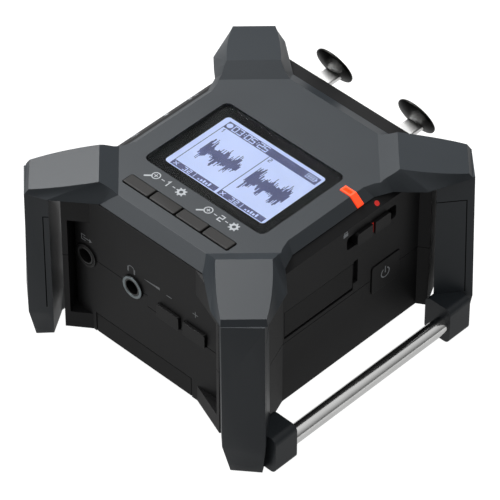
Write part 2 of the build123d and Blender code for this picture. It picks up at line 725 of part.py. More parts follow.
with BuildPart() as battery_door:
    with BuildSketch(Plane.XY.offset(case_floor)):
        with Locations((sum(door_x) / 2, (front_y + 0.05 + door_back - gap) / 2)):
            Rectangle(door_x[1] - door_x[0] - 2 * gap, door_back - gap - front_y - 0.05)
    extrude(amount=1.3)
    with BuildSketch(Plane.XZ.offset(-front_y - 0.05)):
        with Locations((sum(door_x) / 2, (case_floor + door_lip_top - gap) / 2)):
            Rectangle(door_x[1] - door_x[0] - 2 * gap, door_lip_top - gap - case_floor)
    extrude(amount=-1.3)
save(battery_door, "battery_door")

with BuildPart() as main_board:
    with BuildSketch(Plane.XY.offset(21.6)):
        with Locations((0, -3.25)):
            Rectangle(45.6, 49.1)
        with Locations(*post_spots):
            Circle(2.3, mode=Mode.SUBTRACT)
        with Locations((-21.9, slider_y)):
            Rectangle(2.0, 24.0, mode=Mode.SUBTRACT)
    extrude(amount=1.2)
save(main_board, "main_board")

with BuildPart() as input_board:
    with BuildSketch(Plane.XZ.offset(-shell_back + 0.65)):
        with Locations((0, 30.2)):
            Rectangle(37.6, 14.4)
    extrude(amount=1.2)
save(input_board, "input_board")

with BuildPart() as board_switches:
    with BuildSketch(Plane.XY.offset(22.85)):
        with Locations((21.4, power_y)):
            Rectangle(3.2, 5.0)
    extrude(amount=2.6)
    with BuildSketch(Plane.XY.offset(22.85)):
        with Locations(*[(x, -26.8) for x in volume_x]):
            Rectangle(5.0, 1.8)
    extrude(amount=3.2)
save(board_switches, "board_switches")
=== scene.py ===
import bpy
import math
import numpy as np
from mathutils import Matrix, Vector


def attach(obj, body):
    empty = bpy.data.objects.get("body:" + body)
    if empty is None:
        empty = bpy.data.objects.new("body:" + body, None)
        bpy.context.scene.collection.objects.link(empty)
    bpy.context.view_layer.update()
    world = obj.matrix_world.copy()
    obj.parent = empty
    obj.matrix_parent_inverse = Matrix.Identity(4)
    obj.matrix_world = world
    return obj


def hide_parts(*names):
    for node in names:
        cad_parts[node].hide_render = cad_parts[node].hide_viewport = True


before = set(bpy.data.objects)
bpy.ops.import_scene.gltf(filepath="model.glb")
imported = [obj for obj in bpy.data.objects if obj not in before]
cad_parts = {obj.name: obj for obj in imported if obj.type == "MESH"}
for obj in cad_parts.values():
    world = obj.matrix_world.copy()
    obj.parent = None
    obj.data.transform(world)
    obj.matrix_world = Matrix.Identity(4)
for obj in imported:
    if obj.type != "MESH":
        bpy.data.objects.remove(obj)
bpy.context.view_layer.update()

# ---------------------------------------------------------------- top cover
# One injection moulding in blue-grey glass-filled nylon: plate, four raised
# arms and four legs. The mould is spark-eroded, so every face has a fine
# satin grain.


def grain_group():
    """Moulded grain: fine noise for the skin, broad noise for uneven shade.

    Shade is a colour factor about 1, Rough a roughness, Height the relief.
    """
    g = bpy.data.node_groups.new("moulded_grain", "ShaderNodeTree")
    for name, value in (("Cells per metre", 5200.0), ("Shade amount", 0.12), ("Gloss", 0.45),
                        ("Gloss spread", 0.1)):
        s = g.interface.new_socket(name, in_out="INPUT", socket_type="NodeSocketFloat")
        s.default_value = value
    g.interface.new_socket("Shade", in_out="OUTPUT", socket_type="NodeSocketFloat")
    g.interface.new_socket("Rough", in_out="OUTPUT", socket_type="NodeSocketFloat")
    g.interface.new_socket("Height", in_out="OUTPUT", socket_type="NodeSocketFloat")
    n, link = g.nodes, g.links.new
    inp, out = n.new("NodeGroupInput"), n.new("NodeGroupOutput")
    place = n.new("ShaderNodeTexCoord")
    fine, broad = n.new("ShaderNodeTexNoise"), n.new("ShaderNodeTexNoise")
    pits = n.new("ShaderNodeTexVoronoi")
    fine.inputs["Detail"].default_value = 3.0
    broad.inputs["Scale"].default_value = 90.0
    broad.inputs["Detail"].default_value = 4.0
    for tex in (fine, broad, pits):
        link(place.outputs["Object"], tex.inputs["Vector"])
    link(inp.outputs["Cells per metre"], fine.inputs["Scale"])
    link(inp.outputs["Cells per metre"], pits.inputs["Scale"])
    both = n.new("ShaderNodeMath")
    both.operation = "MULTIPLY_ADD"
    link(fine.outputs["Fac"], both.inputs[0])
    both.inputs[1].default_value = 0.6
    half = n.new("ShaderNodeMath")
    half.operation = "MULTIPLY"
    link(broad.outputs["Fac"], half.inputs[0])
    half.inputs[1].default_value = 0.4
    link(half.outputs[0], both.inputs[2])
    centred = n.new("ShaderNodeMath")
    centred.operation = "SUBTRACT"
    link(both.outputs[0], centred.inputs[0])
    centred.inputs[1].default_value = 0.5
    shade = n.new("ShaderNodeMath")
    shade.operation = "MULTIPLY_ADD"
    link(centred.outputs[0], shade.inputs[0])
    link(inp.outputs["Shade amount"], shade.inputs[1])
    shade.inputs[2].default_value = 1.0
    rough = n.new("ShaderNodeMath")
    rough.operation = "MULTIPLY_ADD"
    link(centred.outputs[0], rough.inputs[0])
    link(inp.outputs["Gloss spread"], rough.inputs[1])
    link(inp.outputs["Gloss"], rough.inputs[2])
    height = n.new("ShaderNodeMath")
    height.operation = "MULTIPLY_ADD"
    link(pits.outputs["Distance"], height.inputs[0])
    height.inputs[1].default_value = 0.5
    link(fine.outputs["Fac"], height.inputs[2])
    link(shade.outputs[0], out.inputs["Shade"])
    link(rough.outputs[0], out.inputs["Rough"])
    link(height.outputs[0], out.inputs["Height"])
    return g


moulded_grain = grain_group()


def moulding(name, colour, gloss, cells=5200.0, shade=0.3, spread=0.12, relief=0.00001,
             specular=0.5):
    """A moulded or cast finish: colour times Shade, roughness and bump from the grain."""
    m = bpy.data.materials.new(name)
    m.use_nodes = True
    n, link = m.node_tree.nodes, m.node_tree.links.new
    skin = n["Principled BSDF"]
    grain = n.new("ShaderNodeGroup")
    grain.node_tree = moulded_grain
    grain.inputs["Cells per metre"].default_value = cells
    grain.inputs["Shade amount"].default_value = shade
    grain.inputs["Gloss"].default_value = gloss
    grain.inputs["Gloss spread"].default_value = spread
    tint = n.new("ShaderNodeMix")
    tint.data_type = "RGBA"
    tint.blend_type = "MULTIPLY"
    tint.inputs["Factor"].default_value = 1.0
    tint.inputs["A"].default_value = (*colour, 1.0)
    link(grain.outputs["Shade"], tint.inputs["B"])
    link(tint.outputs["Result"], skin.inputs["Base Color"])
    link(grain.outputs["Rough"], skin.inputs["Roughness"])
    bump = n.new("ShaderNodeBump")
    bump.inputs["Strength"].default_value = 0.35
    bump.inputs["Distance"].default_value = relief
    link(grain.outputs["Height"], bump.inputs["Height"])
    link(bump.outputs["Normal"], skin.inputs["Normal"])
    skin.inputs["Specular IOR Level"].default_value = specular
    return m


def finish_in(material, *nodes):
    """Gives carried-over solids their finish."""
    for name in nodes:
        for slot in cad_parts[name].material_slots:
            slot.material = material


def soften(width, *nodes, segments=3, angle=25):
    """Rounds the sharp edges of carried-over solids, as a mould or a tumbler does."""
    for name in nodes:
        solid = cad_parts[name]
        weld = solid.modifiers.new("weld", "WELD")
        weld.merge_threshold = 0.000002
        flats = solid.modifiers.new("flats", "DECIMATE")
        flats.decimate_type = "DISSOLVE"
        flats.angle_limit = math.radians(0.6)
        edge = solid.modifiers.new("edge", "BEVEL")
        edge.width = width
        edge.segments = segments
        edge.limit_method = "ANGLE"
        edge.angle_limit = math.radians(angle)
        edge.use_clamp_overlap = True
        edge.harden_normals = False


cover_nylon = moulding("cover_nylon", (0.0235, 0.028, 0.0325), 0.40, cells=4200.0,
                       relief=0.000014, specular=0.3)
finish_in(cover_nylon, "top_cover")
soften(0.0006, "top_cover", segments=4, angle=15)

# ---------------------------------------------------------------- foot pads
# Four soft black discs, punched from rubber sheet and glued into shallow
# seats in the ends of the legs, so that the recorder doesn't slide.
foot_rubber = moulding("foot_rubber", (0.012, 0.012, 0.012), 0.75, cells=2600.0, relief=0.00002)
finish_in(foot_rubber, "foot_pads")

# ---------------------------------------------------------------- strap bars
# Two 4 mm steel bars for a strap, turned, polished and plated. Their ends
# are held in the bosses beside the legs.


def plating(name, colour, gloss, streaks=(600.0, 600.0, 9000.0), streak_gloss=0.05):
    """Polished plate: fine rubbing marks stretched along one axis change the gloss."""
    m = bpy.data.materials.new(name)
    m.use_nodes = True
    n, link = m.node_tree.nodes, m.node_tree.links.new
    skin = n["Principled BSDF"]
    place, turn = n.new("ShaderNodeTexCoord"), n.new("ShaderNodeMapping")
    turn.inputs["Scale"].default_value = streaks
    marks, cloud = n.new("ShaderNodeTexNoise"), n.new("ShaderNodeTexNoise")
    marks.inputs["Scale"].default_value = 1.0
    cloud.inputs["Scale"].default_value = 160.0
    link(place.outputs["Object"], turn.inputs["Vector"])
    link(turn.outputs["Vector"], marks.inputs["Vector"])
    link(place.outputs["Object"], cloud.inputs["Vector"])
    rough = n.new("ShaderNodeMapRange")
    link(marks.outputs["Fac"], rough.inputs["Value"])
    rough.inputs["To Min"].default_value = gloss
    rough.inputs["To Max"].default_value = gloss + streak_gloss
    link(rough.outputs["Result"], skin.inputs["Roughness"])
    tint = n.new("ShaderNodeMix")
    tint.data_type = "RGBA"
    tint.inputs["A"].default_value = (*colour, 1.0)
    tint.inputs["B"].default_value = (*(c * 0.86 for c in colour), 1.0)
    link(cloud.outputs["Fac"], tint.inputs["Factor"])
    link(tint.outputs["Result"], skin.inputs["Base Color"])
    bump = n.new("ShaderNodeBump")
    bump.inputs["Strength"].default_value = 0.08
    bump.inputs["Distance"].default_value = 0.000004
    link(marks.outputs["Fac"], bump.inputs["Height"])
    link(bump.outputs["Normal"], skin.inputs["Normal"])
    skin.inputs["Metallic"].default_value = 1.0
    return m


bar_plate = plating("bar_plate", (0.9, 0.9, 0.89), 0.16, streaks=(9000.0, 250.0, 9000.0))
finish_in(bar_plate, "strap_bar_left", "strap_bar_right")

# ---------------------------------------------------------------- housings
# The two black halves of the case in grained ABS, joined at the seam, and the
# screws and the brass tripod bush in the floor.
case_abs = moulding("case_abs", (0.0105, 0.0105, 0.011), 0.5, cells=4600.0,
                    relief=0.000012, specular=0.18)
finish_in(case_abs, "upper_housing", "lower_case")
soften(0.0003, "upper_housing", "lower_case", segments=2, angle=28)
screw_black = plating("screw_black", (0.06, 0.06, 0.06), 0.35, streaks=(3000.0, 3000.0, 3000.0))
finish_in(screw_black, "case_screws")
bush_brass = plating("bush_brass", (0.62, 0.46, 0.2), 0.3, streaks=(4000.0, 4000.0, 4000.0))
finish_in(bush_brass, "tripod_insert")

# ---------------------------------------------------------------- display
# A hard-coated acrylic window, printed black round its border, over a lit
# liquid crystal panel. The panel shows a status bar, two sound tracks and a
# bar of settings under each, all drawn here as printed-thin plates.
mm = 0.001
legs_y = -1.55


def flat_plate(name, shapes, place, material, body="case", thick=0.02):
    """Thin plates lying on a surface: each shape is a ring of corners (u, v) in mm.

    place turns (u, v, height) in mm into a point in metres. Each ring is set at
    height 0 and at the thickness, a hair more on some so that none share a face, and
    is closed by its own wall. Where place mirrors, the corners are taken the other way
    round, so that faces point outwards.
    """
    points, faces, start = [], [], 0
    for number, ring in enumerate(shapes):
        ring = np.asarray(ring, float)
        u, v = ring[:, 0], ring[:, 1]
        if np.sum(u * np.roll(v, -1) - v * np.roll(u, -1)) < 0:
            ring = ring[::-1]
        k = len(ring)
        low = np.column_stack([ring, np.zeros(k)])
        high = np.column_stack([ring, np.full(k, thick * (1 + 0.04 * (number % 5)))])
        points.append(np.vstack([low, high]))
        i = np.arange(k)
        j = (i + 1) % k
        faces.append((start + i[::-1]).tolist())
        faces.append((start + k + i).tolist())
        faces.extend(np.column_stack([start + i, start + j, start + k + j,
                                      start + k + i]).tolist())
        start += 2 * k
    unit = place(np.vstack([np.zeros(3), np.eye(3)]))
    if np.linalg.det(unit[1:] - unit[0]) < 0:
        faces = [face[::-1] for face in faces]
    where = place(np.vstack(points))
    mesh = bpy.data.meshes.new(name)
    mesh.from_pydata(where.tolist(), [], faces)
    mesh.materials.append(material)
    piece = bpy.data.objects.new(name, mesh)
    bpy.context.scene.collection.objects.link(piece)
    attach(piece, body)
    return piece


def lines(path, width):
    """A drawn line of a given width, mitred: each corner is pushed out along the half angle.

    Two runs share the edge at their corner. A path that ends where it starts is closed.
    """
    path = np.asarray(path, float)
    closed = len(path) > 2 and np.allclose(path[0], path[-1])
    run = np.diff(path, axis=0)
    run = run / np.linalg.norm(run, axis=1)[:, None]
    side = np.column_stack([-run[:, 1], run[:, 0]])
    before = np.vstack([side[-1:] if closed else side[:1], side])
    after = np.vstack([side, side[:1] if closed else side[-1:]])
    mitre = before + after
    mitre = mitre / np.maximum(np.sum(mitre * before, axis=1), 0.35)[:, None] * width / 2
    ends = path.copy()
    if not closed:
        ends[0] = ends[0] - run[0] * width / 2
        ends[-1] = ends[-1] + run[-1] * width / 2
    left, right = ends + mitre, ends - mitre
    return list(np.stack([right[:-1], right[1:], left[1:], left[:-1]], axis=1))


def ring_points(u, v, r, count=28):
    """Corners evenly spaced on a circle."""
    t = np.linspace(0, 2 * np.pi, count, endpoint=False)
    return np.column_stack([u + r * np.cos(t), v + r * np.sin(t)])


def round_box(u0, v0, u1, v1, r, count=6):
    """Corners of a rectangle with rounded corners."""
    t = np.linspace(0, np.pi / 2, count)
    parts = [np.column_stack([cu + r * np.cos(t + q), cv + r * np.sin(t + q)])
             for cu, cv, q in ((u1 - r, v1 - r, 0), (u0 + r, v1 - r, np.pi / 2),
                               (u0 + r, v0 + r, np.pi), (u1 - r, v0 + r, 1.5 * np.pi))]
    return np.vstack(parts)


def on_plate(height):
    """Places a drawing flat, that many millimetres above the floor."""
    return lambda p: np.column_stack([p[:, 0], p[:, 1] + legs_y, p[:, 2] + height]) * mm


def glow(name, colour, strength, base=(0.5, 0.5, 0.5)):
    """A lit surface: cloudy light from a backlight behind it."""
    m = bpy.data.materials.new(name)
    m.use_nodes = True
    n, link = m.node_tree.nodes, m.node_tree.links.new
    skin = n["Principled BSDF"]
    place, cloud, mix = (n.new("ShaderNodeTexCoord"), n.new("ShaderNodeTexNoise"),
                         n.new("ShaderNodeMix"))
    cloud.inputs["Scale"].default_value = 60.0
    mix.data_type = "RGBA"
    mix.inputs["A"].default_value = (*colour, 1.0)
    mix.inputs["B"].default_value = (*(c * 0.82 for c in colour), 1.0)
    link(place.outputs["Object"], cloud.inputs["Vector"])
    link(cloud.outputs["Fac"], mix.inputs["Factor"])
    link(mix.outputs["Result"], skin.inputs["Emission Color"])
    skin.inputs["Emission Strength"].default_value = strength
    skin.inputs["Base Color"].default_value = (*base, 1.0)
    skin.inputs["Roughness"].default_value = 0.4
    return m


lit_glass = glow("lit_glass", (0.52, 0.63, 0.95), 0.95, base=(0.05, 0.05, 0.06))
dark_segments = moulding("dark_segments", (0.035, 0.045, 0.13), 0.4, shade=0.2)
border_print = moulding("border_print", (0.0022, 0.0025, 0.003), 0.5, shade=0.2, specular=0.05)
finish_in(border_print, "display_glass")
light_guide = moulding("light_guide", (0.7, 0.72, 0.75), 0.3)
finish_in(light_guide, "display_backlight")

panel_top = 44.705
lit = (-14.65, -11.0, 14.65, 8.67)
rim = (-17.6, -14.25, 17.6, 11.35)
flat_plate("window_border", [
    [(rim[0], rim[1]), (lit[0], lit[1]), (lit[0], lit[3]), (rim[0], rim[3])],
    [(rim[2], rim[1]), (rim[2], rim[3]), (lit[2], lit[3]), (lit[2], lit[1])],
    [(rim[0], rim[1]), (rim[2], rim[1]), (lit[2], lit[1]), (lit[0], lit[1])],
    [(rim[0], rim[3]), (lit[0], lit[3]), (lit[2], lit[3]), (rim[2], rim[3])]],
    on_plate(panel_top), border_print, thick=0.03)
flat_plate("lit_panel", [round_box(*lit, 0.9)], on_plate(panel_top), lit_glass)


def digit(shape, u, v, wide, tall, width):
    """One figure on a seven-stroke frame."""
    l, r, b, m, t = u, u + wide, v, v + tall / 2, v + tall
    paths = {"0": [(l, b), (r, b), (r, t), (l, t), (l, b)],
             "1": [(l + wide * 0.1, t - tall * 0.25), (u + wide / 2, t), (u + wide / 2, b)],
             "2": [(l, t), (r, t), (r, m), (l, m), (l, b), (r, b)],
             "3": [(l, t), (r, t), (r, m), (l + wide * 0.3, m), (r, m), (r, b), (l, b)],
             "5": [(r, t), (l, t), (l, m), (r, m), (r, b), (l, b)],
             "8": [(l, m), (r, m), (r, t), (l, t), (l, b), (r, b), (r, m)]}
    return lines(paths[shape], width)


drawn, knocked_out = [], []
# status bar with a filled spot, a clock and a battery
drawn.append([(-13.2, 5.45), (14.0, 5.45), (14.0, 7.75), (-13.2, 7.75)])
knocked_out.append(ring_points(-12.2, 6.65, 0.75))
for place_u, figure in zip((-11.0, -9.5, -7.2, -5.7, -3.4, -1.9), "030525"):
    knocked_out.extend(digit(figure, place_u, 5.85, 1.05, 1.6, 0.26))
for place_u in (-7.85, -4.05):
    knocked_out.append([(place_u, 6.35), (place_u + 0.25, 6.35), (place_u + 0.25, 6.6),
                        (place_u, 6.6)])
    knocked_out.append([(place_u, 6.95), (place_u + 0.25, 6.95), (place_u + 0.25, 7.2),
                        (place_u, 7.2)])
knocked_out.extend(lines([(10.6, 6.15), (13.1, 6.15), (13.1, 7.35), (10.6, 7.35),
                          (10.6, 6.15)], 0.18))
knocked_out.append([(13.2, 6.5), (13.5, 6.5), (13.5, 7.0), (13.2, 7.0)])
for bar in (11.0, 11.65, 12.3):
    knocked_out.append([(bar, 6.45), (bar + 0.4, 6.45), (bar + 0.4, 7.05), (bar, 7.05)])
# frames of the two tracks, and the settings bars under them
for left, right in ((-13.1, 0.05), (0.85, 14.0)):
    drawn.extend(lines([(left, -9.2), (left, 5.45)], 0.22))
    drawn.append([(left - 0.1, -10.75), (right, -10.75), (right, -9.15), (left - 0.1, -9.15)])
    knocked_out.extend(lines([(left + 0.6, -10.35), (left + 1.5, -9.55)], 0.2))
    knocked_out.extend(lines([(left + 0.6, -9.55), (left + 1.5, -10.35)], 0.2))
    knocked_out.extend(digit("3", left + 3.4, -10.45, 0.75, 1.0, 0.2))
    knocked_out.extend(digit("2", left + 4.7, -10.45, 0.75, 1.0, 0.2))
    knocked_out.extend(lines([(left + 6.6, -10.5), (left + 6.6, -9.4)], 0.18))
    for step, tall in enumerate((0.35, 0.6, 0.85, 0.6, 1.0)):
        knocked_out.append([(left + 7.8 + 0.75 * step, -10.45),
                            (left + 8.25 + 0.75 * step, -10.45),
                            (left + 8.25 + 0.75 * step, -10.45 + tall),
                            (left + 7.8 + 0.75 * step, -10.45 + tall)])
    drawn.extend(digit("1" if left < 0 else "2", left + 0.7, 4.1, 0.55, 1.0, 0.2))
# the two sound tracks, a loudness envelope times fine uneven peaks
rng = np.random.default_rng(7)
for left, count, swell in ((-11.6, 52, (0.9, 0.55, 1.0, 0.45)), (2.0, 54, (1.0, 0.7, 0.75, 0.9))):
    u = left + 0.2 * np.arange(count)
    s = np.linspace(0, 1, count)
    loud = np.interp(s, np.linspace(0, 1, len(swell)), swell) * (0.75 + 0.25 * np.sin(17 * s))
    up = 5.6 * loud * (0.3 + 0.7 * rng.random(count))
    down = 5.2 * loud * (0.3 + 0.7 * rng.random(count))
    middle = -2.2
    drawn.extend(list(np.stack([np.column_stack([u, middle - down]),
                                np.column_stack([u + 0.205, middle - down]),
                                np.column_stack([u + 0.205, middle + up]),
                                np.column_stack([u, middle + up])], axis=1)))
flat_plate("display_marks", drawn, on_plate(panel_top + 0.021), dark_segments, thick=0.006)
flat_plate("display_clear_marks", knocked_out, on_plate(panel_top + 0.028), lit_glass, thick=0.006)


def clear_window():
    """Acrylic with a hard coat: clear body, faint uneven polish on its gloss."""
    m = bpy.data.materials.new("clear_window")
    m.use_nodes = True
    n, link = m.node_tree.nodes, m.node_tree.links.new
    skin = n["Principled BSDF"]
    place, cloud, rough = (n.new("ShaderNodeTexCoord"), n.new("ShaderNodeTexNoise"),
                           n.new("ShaderNodeMapRange"))
    cloud.inputs["Scale"].default_value = 300.0
    link(place.outputs["Object"], cloud.inputs["Vector"])
    link(cloud.outputs["Fac"], rough.inputs["Value"])
    rough.inputs["To Min"].default_value = 0.02
    rough.inputs["To Max"].default_value = 0.07
    link(rough.outputs["Result"], skin.inputs["Roughness"])
    skin.inputs["Base Color"].default_value = (0.97, 0.98, 1.0, 1.0)
    skin.inputs["Transmission Weight"].default_value = 1.0
    skin.inputs["IOR"].default_value = 1.12
    return m


finish_in(clear_window(), "display_window")

# ---------------------------------------------------------------- top keys
# Four separate silicone key caps in one slot of the cover. They stand on a
# rubber mat over a lacquered circuit board. Their signs are printed behind.
key_silicone = moulding("key_silicone", (0.007, 0.0064, 0.006), 0.5, cells=3000.0, specular=0.25)
finish_in(key_silicone, "key_1", "key_2", "key_3", "key_4")
soften(0.00025, "key_1", "key_2", "key_3", "key_4", segments=3, angle=30)
finish_in(foot_rubber, "key_mat")


def board_lacquer():
    """Green solder mask: copper traces show as a paler net of straight cells."""
    m = bpy.data.materials.new("board_lacquer")
    m.use_nodes = True
    n, link = m.node_tree.nodes, m.node_tree.links.new
    skin = n["Principled BSDF"]
    place, cells, mix = (n.new("ShaderNodeTexCoord"), n.new("ShaderNodeTexVoronoi"),
                         n.new("ShaderNodeMix"))
    cells.distance = "MANHATTAN"
    cells.inputs["Scale"].default_value = 900.0
    mix.data_type = "RGBA"
    mix.inputs["A"].default_value = (0.01, 0.07, 0.03, 1.0)
    mix.inputs["B"].default_value = (0.03, 0.16, 0.06, 1.0)
    link(place.outputs["Object"], cells.inputs["Vector"])
    link(cells.outputs["Distance"], mix.inputs["Factor"])
    link(mix.outputs["Result"], skin.inputs["Base Color"])
    skin.inputs["Roughness"].default_value = 0.3
    return m


finish_in(board_lacquer(), "key_board", "main_board", "input_board", "port_board")

# printed symbols above the keys: magnifier, number and toothed wheel, twice
white_ink = moulding("white_ink", (0.33, 0.35, 0.37), 0.5, shade=0.25)


def open_ring(u, v, r, width, count=24):
    """A circle drawn as a line."""
    t = np.linspace(0, 2 * np.pi, count + 1)
    return lines(np.column_stack([u + r * np.cos(t), v + r * np.sin(t)]), width)


plate_top = 45.69
row = -16.4
plate_marks = []
for u, figure in ((-11.6, "1"), (4.0, "2")):
    wheel = u + 7.5
    plate_marks.extend(open_ring(u, row, 0.95, 0.24))
    plate_marks.extend(lines([(u - 0.75, row - 0.6), (u - 1.85, row - 1.6)], 0.42))
    plate_marks.extend(lines([(u - 0.4, row), (u + 0.4, row)], 0.2))
    plate_marks.extend(lines([(u, row - 0.4), (u, row + 0.4)], 0.2))
    plate_marks.extend(lines([(u + 1.75, row), (u + 2.45, row)], 0.2))
    plate_marks.extend(digit(figure, u + 3.25, row - 0.8, 0.95, 1.6, 0.27))
    plate_marks.extend(lines([(u + 5.05, row), (u + 5.65, row)], 0.2))
    plate_marks.extend(open_ring(wheel, row, 0.72, 0.5))
    for spoke in np.arange(8) * np.pi / 4:
        c, s = math.cos(spoke), math.sin(spoke)
        plate_marks.extend(lines([(wheel + 0.9 * c, row + 0.9 * s),
                                  (wheel + 1.15 * c, row + 1.15 * s)], 0.3))
flat_plate("plate_marks", plate_marks, on_plate(plate_top + 0.005), white_ink)

# ---------------------------------------------------------------- leg gaps
# The case lines the inner part of each leg. The joint between the two
# mouldings shows as a thin dark line up each flat side and across its top.
leg_middle = np.array([28.0, 31.0])
leg_waist, leg_top = 9.0, 43.7
gap_foot, gap_top, gap_wide = 10.5, 37.1, 0.22


def on_leg(outer_top, inner_top, outer_low, inner_low, flip_x, flip_y):
    """Places a drawing on one flat side of a leg.

    u runs 0 to 1 from the outer corner to the inner one, v is the height in mm, and the
    side is the ruled surface between its two corner lines. The plate stands off along
    the side's own normal, away from the leg's middle.
    """
    ot, it, ol, il = (np.array(q, float) for q in (outer_top, inner_top, outer_low, inner_low))

    def place(p):
        u, h = p[:, :1], (p[:, 1:2] - leg_waist) / (leg_top - leg_waist)
        outer, inner = ol + (ot - ol) * h, il + (it - il) * h
        xy = outer + (inner - outer) * u
        along = it - ot
        normal = np.array([along[1], -along[0]]) / np.linalg.norm(along)
        if normal @ (it + ot) / 2 < normal @ leg_middle:
            normal = -normal
        xy = xy + normal * (p[:, 2:3] + 0.004)
        return np.column_stack([flip_x * xy[:, 0], flip_y * xy[:, 1] + legs_y, p[:, 1]]) * mm
    return place


gap_shadow = moulding("gap_shadow", (0.0015, 0.0015, 0.0015), 0.8, shade=0.2, specular=0.05)
for flip_x, flip_y, corner in ((1, -1, "front_right"), (-1, -1, "front_left"),
                               (1, 1, "back_right"), (-1, 1, "back_left")):
    for name, outer_top, inner_top, outer_low, inner_low, step in (
            ("end", (29.3, 38.5), (25.4, 35.2), (29.6, 38.65), (25.6, 35.0), 0.73),
            ("flank", (35.9, 32.3), (30.8, 25.8), (36.6, 32.7), (31.2, 25.8), 0.19)):
        wide = gap_wide / math.dist(outer_top, inner_top)
        gap = [[(step, gap_foot), (step + wide, gap_foot), (step + wide, gap_top),
                (step, gap_top)],
               [(step, gap_top), (1.0, gap_top), (1.0, gap_top + gap_wide),
                (step, gap_top + gap_wide)]]
        flat_plate("leg_gap_" + corner + "_" + name, gap,
                   on_leg(outer_top, inner_top, outer_low, inner_low, flip_x, flip_y),
                   gap_shadow, thick=0.01)

# ---------------------------------------------------------------- record light
# An amber acrylic light pipe, moulded with a bend over the right edge, pushed
# into its slot in the cover and lit from below.
finish_in(glow("amber_pipe", (1.0, 0.045, 0.008), 1.0, base=(0.5, 0.06, 0.01)), "record_light")
amber_core = glow("amber_core", (1.0, 0.17, 0.045), 1.1, base=(0.5, 0.1, 0.02))
flat_plate("record_light_core", [[(19.9, 7.9), (22.1, 7.9), (22.1, 8.9), (19.9, 8.9)]],
           on_plate(plate_top + 0.14), amber_core)

# ---------------------------------------------------------------- right side
# Moulded slide switch with a red line across it, a power key with its printed
# sign, and the card cover, which swings down on a pin over the card socket.
key_abs = moulding("key_abs", (0.0075, 0.0075, 0.0078), 0.45, cells=3800.0, specular=0.2)
cover_abs = moulding("cover_abs", (0.007, 0.007, 0.0072), 0.5, cells=4200.0, specular=0.16)
finish_in(key_abs, "hold_slider", "power_button")
soften(0.0002, "hold_slider", "power_button", "card_cover", segments=2, angle=30)
finish_in(cover_abs, "card_cover")
pressed_steel = plating("pressed_steel", (0.55, 0.55, 0.54), 0.3,
                        streaks=(2000.0, 2000.0, 2000.0))
finish_in(pressed_steel, "card_socket")
# Red ink with a faint emission added: a painted glow, so the red line and the record sign read
# brighter than ink lit by the lamps.
red_ink_painted_glow = moulding("red_ink_painted_glow", (0.5, 0.012, 0.008), 0.45, shade=0.2)
red_ink_glow_skin = red_ink_painted_glow.node_tree.nodes["Principled BSDF"]
red_ink_glow_skin.inputs["Emission Color"].default_value = (0.6, 0.02, 0.01, 1)
red_ink_glow_skin.inputs["Emission Strength"].default_value = 0.25


def on_right(out):
    """Places a drawing on the right face: u runs back, v up."""
    return lambda p: np.column_stack([p[:, 2] + out, p[:, 0] + legs_y, p[:, 1]]) * mm


slider_face, power_face, right_wall = 26.785, 26.885, 26.585
flat_plate("slider_line", [[(9.65, 36.4), (10.35, 36.4), (10.35, 39.2), (9.65, 39.2)]],
           on_right(slider_face), red_ink_painted_glow, body="hold_slider")
power_sign = lines([(14.5, 22.0), (14.5, 23.6)], 0.27)
sweep = np.linspace(math.radians(125), math.radians(415), 22)
power_sign += lines(np.column_stack([14.5 + 1.25 * np.cos(sweep), 21.9 + 1.25 * np.sin(sweep)]),
                    0.27)
flat_plate("power_sign", power_sign, on_right(power_face), white_ink, body="power_button")
padlock = [[(1.2, 40.3), (2.6, 40.3), (2.6, 41.2), (1.2, 41.2)]]
padlock += lines([(1.5, 41.2), (1.5, 41.6), (2.3, 41.6), (2.3, 41.2)], 0.2)
flat_plate("padlock_sign", padlock, on_right(right_wall), white_ink)


def on_bevel(edge, side):
    """Places a drawing on a side bevel: u runs back, v up the slope from its lower edge.

    The bevel goes in by 1.8 mm as it rises by 1.5 mm.
    """
    c, s = 1.8 / math.hypot(1.8, 1.5), 1.5 / math.hypot(1.8, 1.5)
    foot = 41.95
    return lambda p: np.column_stack([
        side * (edge - p[:, 1] * c + p[:, 2] * s), p[:, 0] + legs_y,
        foot + p[:, 1] * s + p[:, 2] * c]) * mm


flat_plate("record_sign", [ring_points(12.4, 1.1, 0.62)], on_bevel(26.6, 1), red_ink_painted_glow)

# ---------------------------------------------------------------- left side
# Three keys under their printed signs, the data socket and the remote socket
# behind its rubber cover.
finish_in(key_abs, "menu_button", "stop_button", "play_button")
soften(0.00025, "menu_button", "stop_button", "play_button", segments=2, angle=30)
socket_nylon = moulding("socket_nylon", (0.008, 0.008, 0.008), 0.35, cells=2000.0)
finish_in(socket_nylon, "side_switches", "remote_socket", "board_switches")
finish_in(pressed_steel, "data_socket", "latch_hook_left", "latch_hook_right",
          "battery_contacts")
finish_in(foot_rubber, "remote_cover")
# three lines for the menu, a square for stop, a wedge and two bars for play
left_marks = []
for row in (0.55, 1.05, 1.55):
    left_marks.extend(lines([(-8.7, row), (-7.2, row)], 0.18))
left_marks.append([(1.0, 0.6), (2.0, 0.6), (2.0, 1.6), (1.0, 1.6)])
left_marks.append([(8.6, 0.5), (8.6, 1.7), (9.6, 1.1)])
left_marks.extend(lines([(10.3, 0.6), (10.3, 1.6)], 0.22))
left_marks.extend(lines([(10.9, 0.6), (10.9, 1.6)], 0.22))
flat_plate("left_marks", left_marks, on_bevel(27.4, -1), white_ink)

# ---------------------------------------------------------------- front
# Two 3.5 mm jacks with black nylon bodies, the headphone one behind a plated
# ring, and two volume keys moulded in ABS. The signs are pad printed.
finish_in(socket_nylon, "line_out_jack")
ring_plate = plating("ring_plate", (0.2, 0.23, 0.24), 0.3, streaks=(4000.0, 4000.0, 4000.0))
finish_in(socket_nylon, "phones_jack")
finish_in(key_abs, "volume_down_button", "volume_up_button")
soften(0.0002, "volume_down_button", "volume_up_button", segments=2, angle=30)


